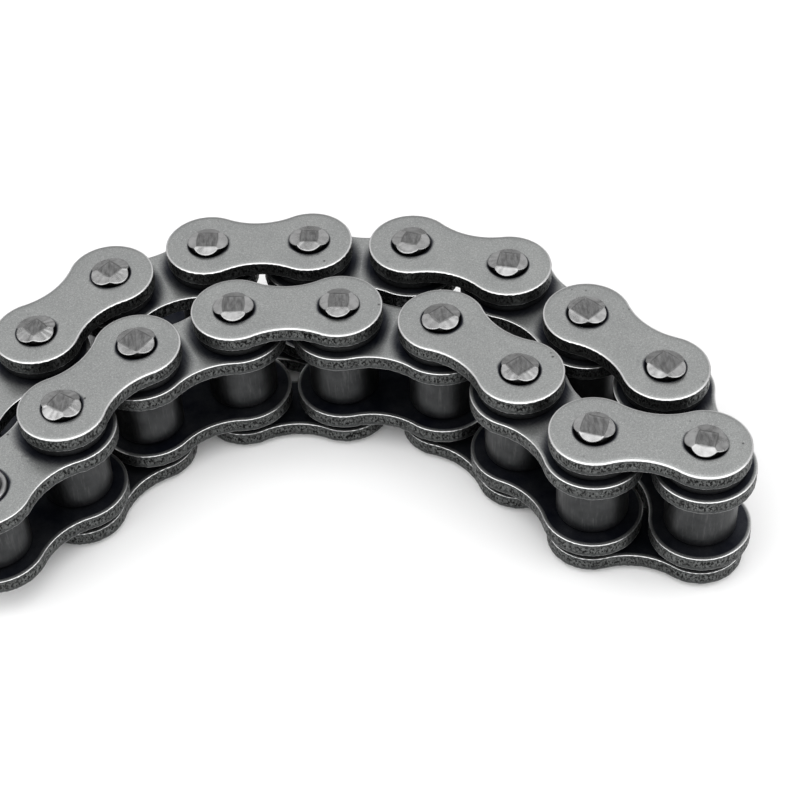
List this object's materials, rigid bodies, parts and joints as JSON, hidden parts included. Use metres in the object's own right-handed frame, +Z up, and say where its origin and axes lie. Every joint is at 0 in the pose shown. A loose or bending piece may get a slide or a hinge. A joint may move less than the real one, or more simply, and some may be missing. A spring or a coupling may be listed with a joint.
{
  "type": "roller chain",
  "caption": "Length of sealed roller chain lying on its side, folded back on itself; figure-of-eight plates, riveted pins, free-turning rollers.",
  "frame": {"origin": "centre of the bounding box on the floor that the lower pin heads stand on", "axes": "+X along the folded chain towards the fold, +Y away from the fold's open side, +Z up along the pins"},
  "size_m": [0.0986, 0.0502, 0.0203],
  "materials": {
    "plate_steel": "satin tumbled steel, slightly pitted, with bright rounded edges and torn sheared sides",
    "bushing_steel": "ground steel, oily",
    "roller_steel": "dark hardened steel with fine upright scratches",
    "pin_steel": "riveted pin heads with a dark scuffed top and four bright staked facets",
    "seal_rubber": "black oily rubber seal ring"
  },
  "bodies": {
    "inner_link_1": {"inner_link_1_upper_plate": "plate_steel", "inner_link_1_bushed_plate": "plate_steel"},
    "inner_link_1_roller_a": {"inner_link_1_roller_a": "roller_steel"},
    "inner_link_1_roller_b": {"inner_link_1_roller_b": "roller_steel"},
    "outer_link_1": {"outer_link_1_upper_plate": "plate_steel", "outer_link_1_pinned_plate": "plate_steel"},
    "inner_link_2": {"inner_link_2_upper_plate": "plate_steel", "inner_link_2_bushed_plate": "plate_steel"},
    "inner_link_2_roller_a": {"inner_link_2_roller_a": "roller_steel"},
    "inner_link_2_roller_b": {"inner_link_2_roller_b": "roller_steel"},
    "outer_link_2": {"outer_link_2_upper_plate": "plate_steel", "outer_link_2_pinned_plate": "plate_steel"},
    "inner_link_3": {"inner_link_3_upper_plate": "plate_steel", "inner_link_3_bushed_plate": "plate_steel"},
    "inner_link_3_roller_a": {"inner_link_3_roller_a": "roller_steel"},
    "inner_link_3_roller_b": {"inner_link_3_roller_b": "roller_steel"},
    "outer_link_3": {"outer_link_3_upper_plate": "plate_steel", "outer_link_3_pinned_plate": "plate_steel"},
    "inner_link_4": {"inner_link_4_upper_plate": "plate_steel", "inner_link_4_bushed_plate": "plate_steel"},
    "inner_link_4_roller_a": {"inner_link_4_roller_a": "roller_steel"},
    "inner_link_4_roller_b": {"inner_link_4_roller_b": "roller_steel"},
    "outer_link_4": {"outer_link_4_upper_plate": "plate_steel", "outer_link_4_pinned_plate": "plate_steel"},
    "inner_link_5": {"inner_link_5_upper_plate": "plate_steel", "inner_link_5_lower_plate": "plate_steel", "inner_link_5_bushing_a": "bushing_steel", "inner_link_5_bushing_b": "bushing_steel"},
    "inner_link_5_roller_a": {"inner_link_5_roller_a": "roller_steel"},
    "inner_link_5_roller_b": {"inner_link_5_roller_b": "roller_steel"},
    "outer_link_5": {"outer_link_5_upper_plate": "plate_steel", "outer_link_5_lower_plate": "plate_steel", "outer_link_5_pin_a": "pin_steel", "outer_link_5_lower_seal_a": "seal_rubber", "outer_link_5_upper_seal_a": "seal_rubber", "outer_link_5_pin_b": "pin_steel", "outer_link_5_lower_seal_b": "seal_rubber", "outer_link_5_upper_seal_b": "seal_rubber"},
    "inner_link_6": {"inner_link_6_upper_plate": "plate_steel", "inner_link_6_bushed_plate": "plate_steel"},
    "inner_link_6_roller_a": {"inner_link_6_roller_a": "roller_steel"},
    "inner_link_6_roller_b": {"inner_link_6_roller_b": "roller_steel"},
    "outer_link_6": {"outer_link_6_upper_plate": "plate_steel", "outer_link_6_pinned_plate": "plate_steel"},
    "inner_link_7": {"inner_link_7_upper_plate": "plate_steel", "inner_link_7_bushed_plate": "plate_steel"},
    "inner_link_7_roller_a": {"inner_link_7_roller_a": "roller_steel"},
    "inner_link_7_roller_b": {"inner_link_7_roller_b": "roller_steel"},
    "outer_link_7": {"outer_link_7_upper_plate": "plate_steel", "outer_link_7_pinned_plate": "plate_steel"},
    "inner_link_8": {"inner_link_8_upper_plate": "plate_steel", "inner_link_8_bushed_plate": "plate_steel"},
    "inner_link_8_roller_a": {"inner_link_8_roller_a": "roller_steel"},
    "inner_link_8_roller_b": {"inner_link_8_roller_b": "roller_steel"},
    "outer_link_8": {"outer_link_8_upper_plate": "plate_steel", "outer_link_8_pinned_plate": "plate_steel"},
    "inner_link_9": {"inner_link_9_upper_plate": "plate_steel", "inner_link_9_bushed_plate": "plate_steel"},
    "inner_link_9_roller_a": {"inner_link_9_roller_a": "roller_steel"},
    "inner_link_9_roller_b": {"inner_link_9_roller_b": "roller_steel"}
  },
  "joints": [
    {"name": "pin_1_hinge", "type": "hinge", "parent": "outer_link_1", "child": "inner_link_1", "pos_m": [-0.03393, 0.00533, 0.01015], "axis": [0, 0, 1], "range_deg": [-80, 0]},
    {"name": "pin_2_hinge", "type": "hinge", "parent": "inner_link_2", "child": "outer_link_1", "pos_m": [-0.02543, 0.01477, 0.01015], "axis": [0, 0, -1], "range_deg": [0, 80]},
    {"name": "pin_3_hinge", "type": "hinge", "parent": "outer_link_2", "child": "inner_link_2", "pos_m": [-0.0135, 0.01911, 0.01015], "axis": [0, 0, 1], "range_deg": [-80, 0]},
    {"name": "pin_4_hinge", "type": "hinge", "parent": "inner_link_3", "child": "outer_link_2", "pos_m": [-0.0008, 0.01867, 0.01015], "axis": [0, 0, -1], "range_deg": [0, 80]},
    {"name": "pin_5_hinge", "type": "hinge", "parent": "outer_link_3", "child": "inner_link_3", "pos_m": [0.0118, 0.01712, 0.01015], "axis": [0, 0, 1], "range_deg": [-80, 0]},
    {"name": "pin_6_hinge", "type": "hinge", "parent": "inner_link_4", "child": "outer_link_3", "pos_m": [0.02349, 0.01215, 0.01015], "axis": [0, 0, -1], "range_deg": [0, 80]},
    {"name": "pin_7_hinge", "type": "hinge", "parent": "outer_link_4", "child": "inner_link_4", "pos_m": [0.03215, 0.00287, 0.01015], "axis": [0, 0, 1], "range_deg": [-80, 0]},
    {"name": "pin_8_hinge", "type": "hinge", "parent": "inner_link_5", "child": "outer_link_4", "pos_m": [0.04032, -0.00686, 0.01015], "axis": [0, 0, -1], "range_deg": [0, 80]},
    {"name": "pin_9_hinge", "type": "hinge", "parent": "inner_link_5", "child": "outer_link_5", "pos_m": [0.04339, -0.01918, 0.01015], "axis": [0, 0, -1], "range_deg": [-160, 0]},
    {"name": "pin_10_hinge", "type": "hinge", "parent": "outer_link_5", "child": "inner_link_6", "pos_m": [0.03107, -0.01611, 0.01015], "axis": [0, 0, 1], "range_deg": [0, 40]},
    {"name": "pin_11_hinge", "type": "hinge", "parent": "inner_link_6", "child": "outer_link_6", "pos_m": [0.02342, -0.00597, 0.01015], "axis": [0, 0, -1], "range_deg": [-40, 0]},
    {"name": "pin_12_hinge", "type": "hinge", "parent": "outer_link_6", "child": "inner_link_7", "pos_m": [0.01476, 0.00332, 0.01015], "axis": [0, 0, 1], "range_deg": [0, 40]},
    {"name": "pin_13_hinge", "type": "hinge", "parent": "inner_link_7", "child": "outer_link_7", "pos_m": [0.00255, 0.00682, 0.01015], "axis": [0, 0, -1], "range_deg": [-40, 0]},
    {"name": "pin_14_hinge", "type": "hinge", "parent": "outer_link_7", "child": "inner_link_8", "pos_m": [-0.01014, 0.00726, 0.01015], "axis": [0, 0, 1], "range_deg": [0, 40]},
    {"name": "pin_15_hinge", "type": "hinge", "parent": "inner_link_8", "child": "outer_link_8", "pos_m": [-0.02174, 0.0021, 0.01015], "axis": [0, 0, -1], "range_deg": [-40, 0]},
    {"name": "pin_16_hinge", "type": "hinge", "parent": "outer_link_8", "child": "inner_link_9", "pos_m": [-0.03007, -0.00749, 0.01015], "axis": [0, 0, 1], "range_deg": [0, 40]},
    {"name": "inner_link_1_roller_a_spin", "type": "hinge", "parent": "inner_link_1", "child": "inner_link_1_roller_a", "pos_m": [-0.04337, -0.00317, 0.01015], "axis": [0, 0, 1], "continuous": true},
    {"name": "inner_link_1_roller_b_spin", "type": "hinge", "parent": "inner_link_1", "child": "inner_link_1_roller_b", "pos_m": [-0.03393, 0.00533, 0.01015], "axis": [0, 0, 1], "continuous": true},
    {"name": "inner_link_2_roller_a_spin", "type": "hinge", "parent": "inner_link_2", "child": "inner_link_2_roller_a", "pos_m": [-0.02543, 0.01477, 0.01015], "axis": [0, 0, 1], "continuous": true},
    {"name": "inner_link_2_roller_b_spin", "type": "hinge", "parent": "inner_link_2", "child": "inner_link_2_roller_b", "pos_m": [-0.0135, 0.01911, 0.01015], "axis": [0, 0, 1], "continuous": true},
    {"name": "inner_link_3_roller_a_spin", "type": "hinge", "parent": "inner_link_3", "child": "inner_link_3_roller_a", "pos_m": [-0.0008, 0.01867, 0.01015], "axis": [0, 0, 1], "continuous": true},
    {"name": "inner_link_3_roller_b_spin", "type": "hinge", "parent": "inner_link_3", "child": "inner_link_3_roller_b", "pos_m": [0.0118, 0.01712, 0.01015], "axis": [0, 0, 1], "continuous": true},
    {"name": "inner_link_4_roller_a_spin", "type": "hinge", "parent": "inner_link_4", "child": "inner_link_4_roller_a", "pos_m": [0.02349, 0.01215, 0.01015], "axis": [0, 0, 1], "continuous": true},
    {"name": "inner_link_4_roller_b_spin", "type": "hinge", "parent": "inner_link_4", "child": "inner_link_4_roller_b", "pos_m": [0.03215, 0.00287, 0.01015], "axis": [0, 0, 1], "continuous": true},
    {"name": "inner_link_5_roller_a_spin", "type": "hinge", "parent": "inner_link_5", "child": "inner_link_5_roller_a", "pos_m": [0.04032, -0.00686, 0.01015], "axis": [0, 0, 1], "continuous": true},
    {"name": "inner_link_5_roller_b_spin", "type": "hinge", "parent": "inner_link_5", "child": "inner_link_5_roller_b", "pos_m": [0.04339, -0.01918, 0.01015], "axis": [0, 0, 1], "continuous": true},
    {"name": "inner_link_6_roller_a_spin", "type": "hinge", "parent": "inner_link_6", "child": "inner_link_6_roller_a", "pos_m": [0.03107, -0.01611, 0.01015], "axis": [0, 0, 1], "continuous": true},
    {"name": "inner_link_6_roller_b_spin", "type": "hinge", "parent": "inner_link_6", "child": "inner_link_6_roller_b", "pos_m": [0.02342, -0.00597, 0.01015], "axis": [0, 0, 1], "continuous": true},
    {"name": "inner_link_7_roller_a_spin", "type": "hinge", "parent": "inner_link_7", "child": "inner_link_7_roller_a", "pos_m": [0.01476, 0.00332, 0.01015], "axis": [0, 0, 1], "continuous": true},
    {"name": "inner_link_7_roller_b_spin", "type": "hinge", "parent": "inner_link_7", "child": "inner_link_7_roller_b", "pos_m": [0.00255, 0.00682, 0.01015], "axis": [0, 0, 1], "continuous": true},
    {"name": "inner_link_8_roller_a_spin", "type": "hinge", "parent": "inner_link_8", "child": "inner_link_8_roller_a", "pos_m": [-0.01014, 0.00726, 0.01015], "axis": [0, 0, 1], "continuous": true},
    {"name": "inner_link_8_roller_b_spin", "type": "hinge", "parent": "inner_link_8", "child": "inner_link_8_roller_b", "pos_m": [-0.02174, 0.0021, 0.01015], "axis": [0, 0, 1], "continuous": true},
    {"name": "inner_link_9_roller_a_spin", "type": "hinge", "parent": "inner_link_9", "child": "inner_link_9_roller_a", "pos_m": [-0.03007, -0.00749, 0.01015], "axis": [0, 0, 1], "continuous": true},
    {"name": "inner_link_9_roller_b_spin", "type": "hinge", "parent": "inner_link_9", "child": "inner_link_9_roller_b", "pos_m": [-0.03921, -0.01631, 0.01015], "axis": [0, 0, 1], "continuous": true}
  ]
}
